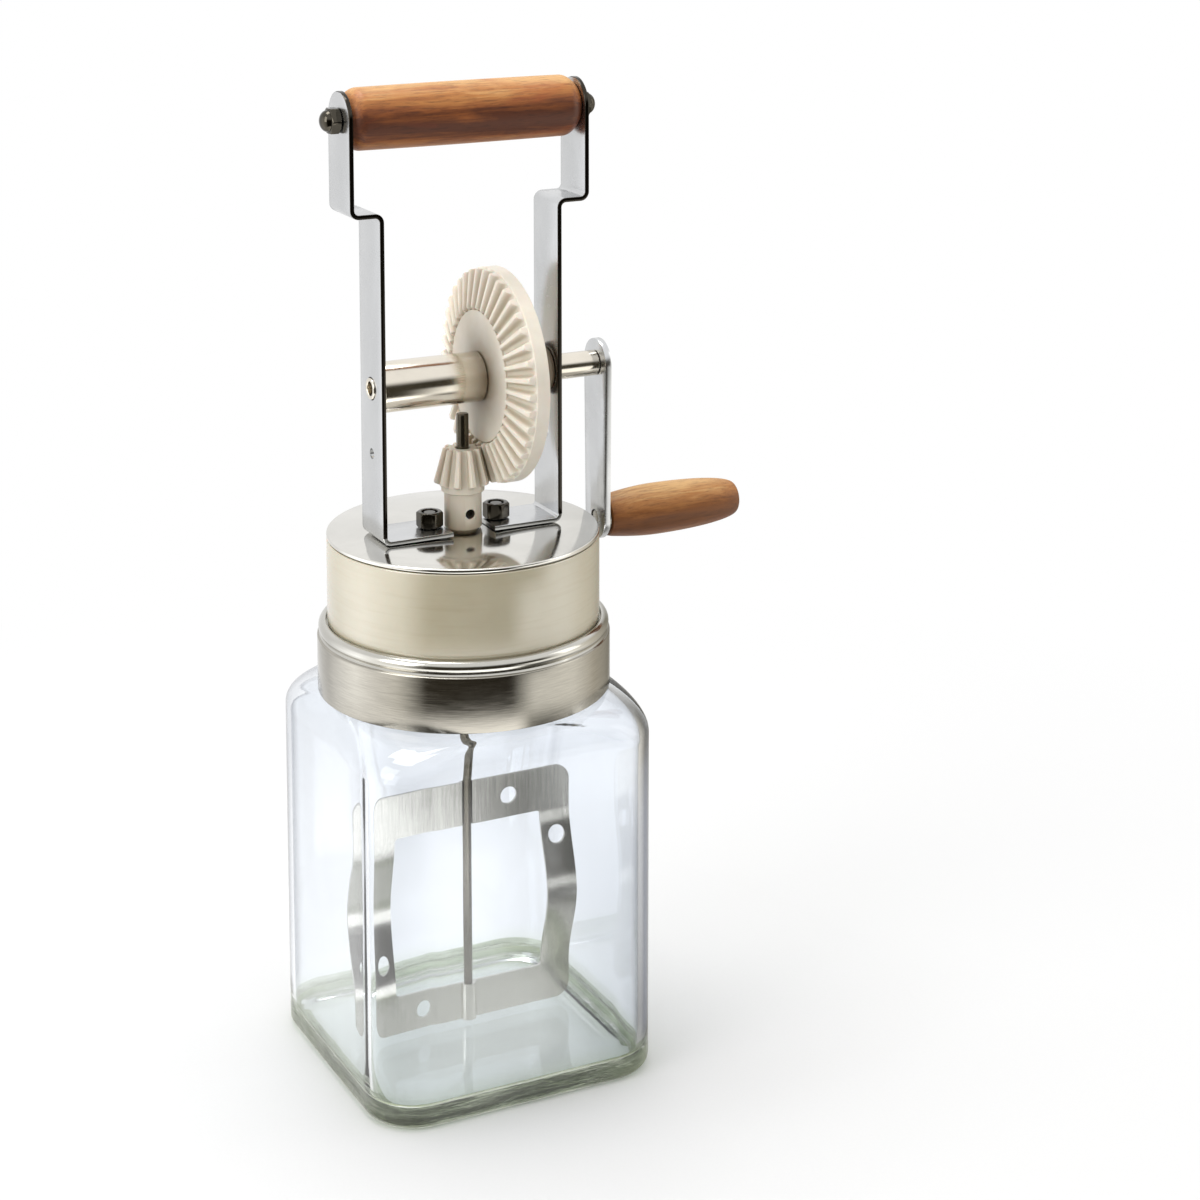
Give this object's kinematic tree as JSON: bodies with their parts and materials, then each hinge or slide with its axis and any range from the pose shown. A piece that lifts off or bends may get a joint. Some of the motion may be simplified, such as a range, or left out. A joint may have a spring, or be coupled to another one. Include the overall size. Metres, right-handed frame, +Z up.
{
  "type": "butter churn",
  "caption": "Hand cranked butter churn: square glass jar with a screw-on head that carries a wooden top grip, a crank with bevel gears and a sheet-steel paddle.",
  "frame": {"origin": "centre of the jar's underside, on the surface the churn stands on; the paddle's axis passes through it", "axes": "+Z up along the paddle's axis, +X along the crank's axis towards the crank and its grip, +Y away from the side that shows the gear teeth in the picture"},
  "size_m": [0.1555, 0.1024, 0.335],
  "materials": {
    "glass": "clear, smooth, green in the thick base",
    "silicone": "satin cream",
    "brushed_steel": "fine brushed lines",
    "polished_steel": "mirror polished",
    "nylon": "smooth off-white",
    "wood": "oiled, fine open grain"
  },
  "bodies": {
    "jar": {"glass_jar": "glass"},
    "head": {"rim_gasket": "silicone", "strainer_drum": "brushed_steel", "silicone_sleeve": "silicone", "top_plate": "polished_steel", "shaft_bush": "nylon", "left_upright": "polished_steel", "right_upright": "polished_steel", "left_foot_bolt": "polished_steel", "right_foot_bolt": "polished_steel", "left_foot_nut": "polished_steel", "right_foot_nut": "polished_steel", "left_foot_washer": "brushed_steel", "right_foot_washer": "brushed_steel", "left_cap_nut": "polished_steel", "right_cap_nut": "polished_steel", "top_grip": "wood", "handle_rod": "brushed_steel"},
    "band": {"screw_band": "brushed_steel", "band_liner": "nylon"},
    "crank": {"crank_shaft": "polished_steel", "spacer_tube": "polished_steel", "drive_gear": "nylon", "gear_grub_screw": "brushed_steel", "gear_washer": "nylon", "crank_arm": "polished_steel", "grip_bolt": "brushed_steel", "grip_washer": "brushed_steel"},
    "grip": {"crank_grip": "wood"},
    "paddle": {"pinion_gear": "nylon", "pinion_grub_screw": "brushed_steel", "retaining_ring": "brushed_steel", "paddle_shaft": "brushed_steel", "paddle_frame": "brushed_steel"}
  },
  "joints": [
    {"name": "head_lift", "type": "slide", "parent": "jar", "child": "head", "axis": [0, 0, 1], "range_m": [0, 0.16]},
    {"name": "band_turn", "type": "hinge", "parent": "head", "child": "band", "pos_m": [0, 0, 0.14], "axis": [0, 0, 1], "range_deg": [0, 450]},
    {"name": "crank_spin", "type": "hinge", "parent": "head", "child": "crank", "pos_m": [0, 0, 0.2346], "axis": [1, 0, 0], "continuous": true},
    {"name": "grip_spin", "type": "hinge", "parent": "crank", "child": "grip", "pos_m": [0.08, 0, 0.1799], "axis": [1, 0, 0], "continuous": true},
    {"name": "paddle_spin", "type": "hinge", "parent": "head", "child": "paddle", "pos_m": [0, 0, 0.2], "axis": [0, 0, 1], "continuous": true}
  ],
  "couplings": [
    {"joint": "paddle_spin", "follows": "crank_spin", "ratio": 4}
  ]
}
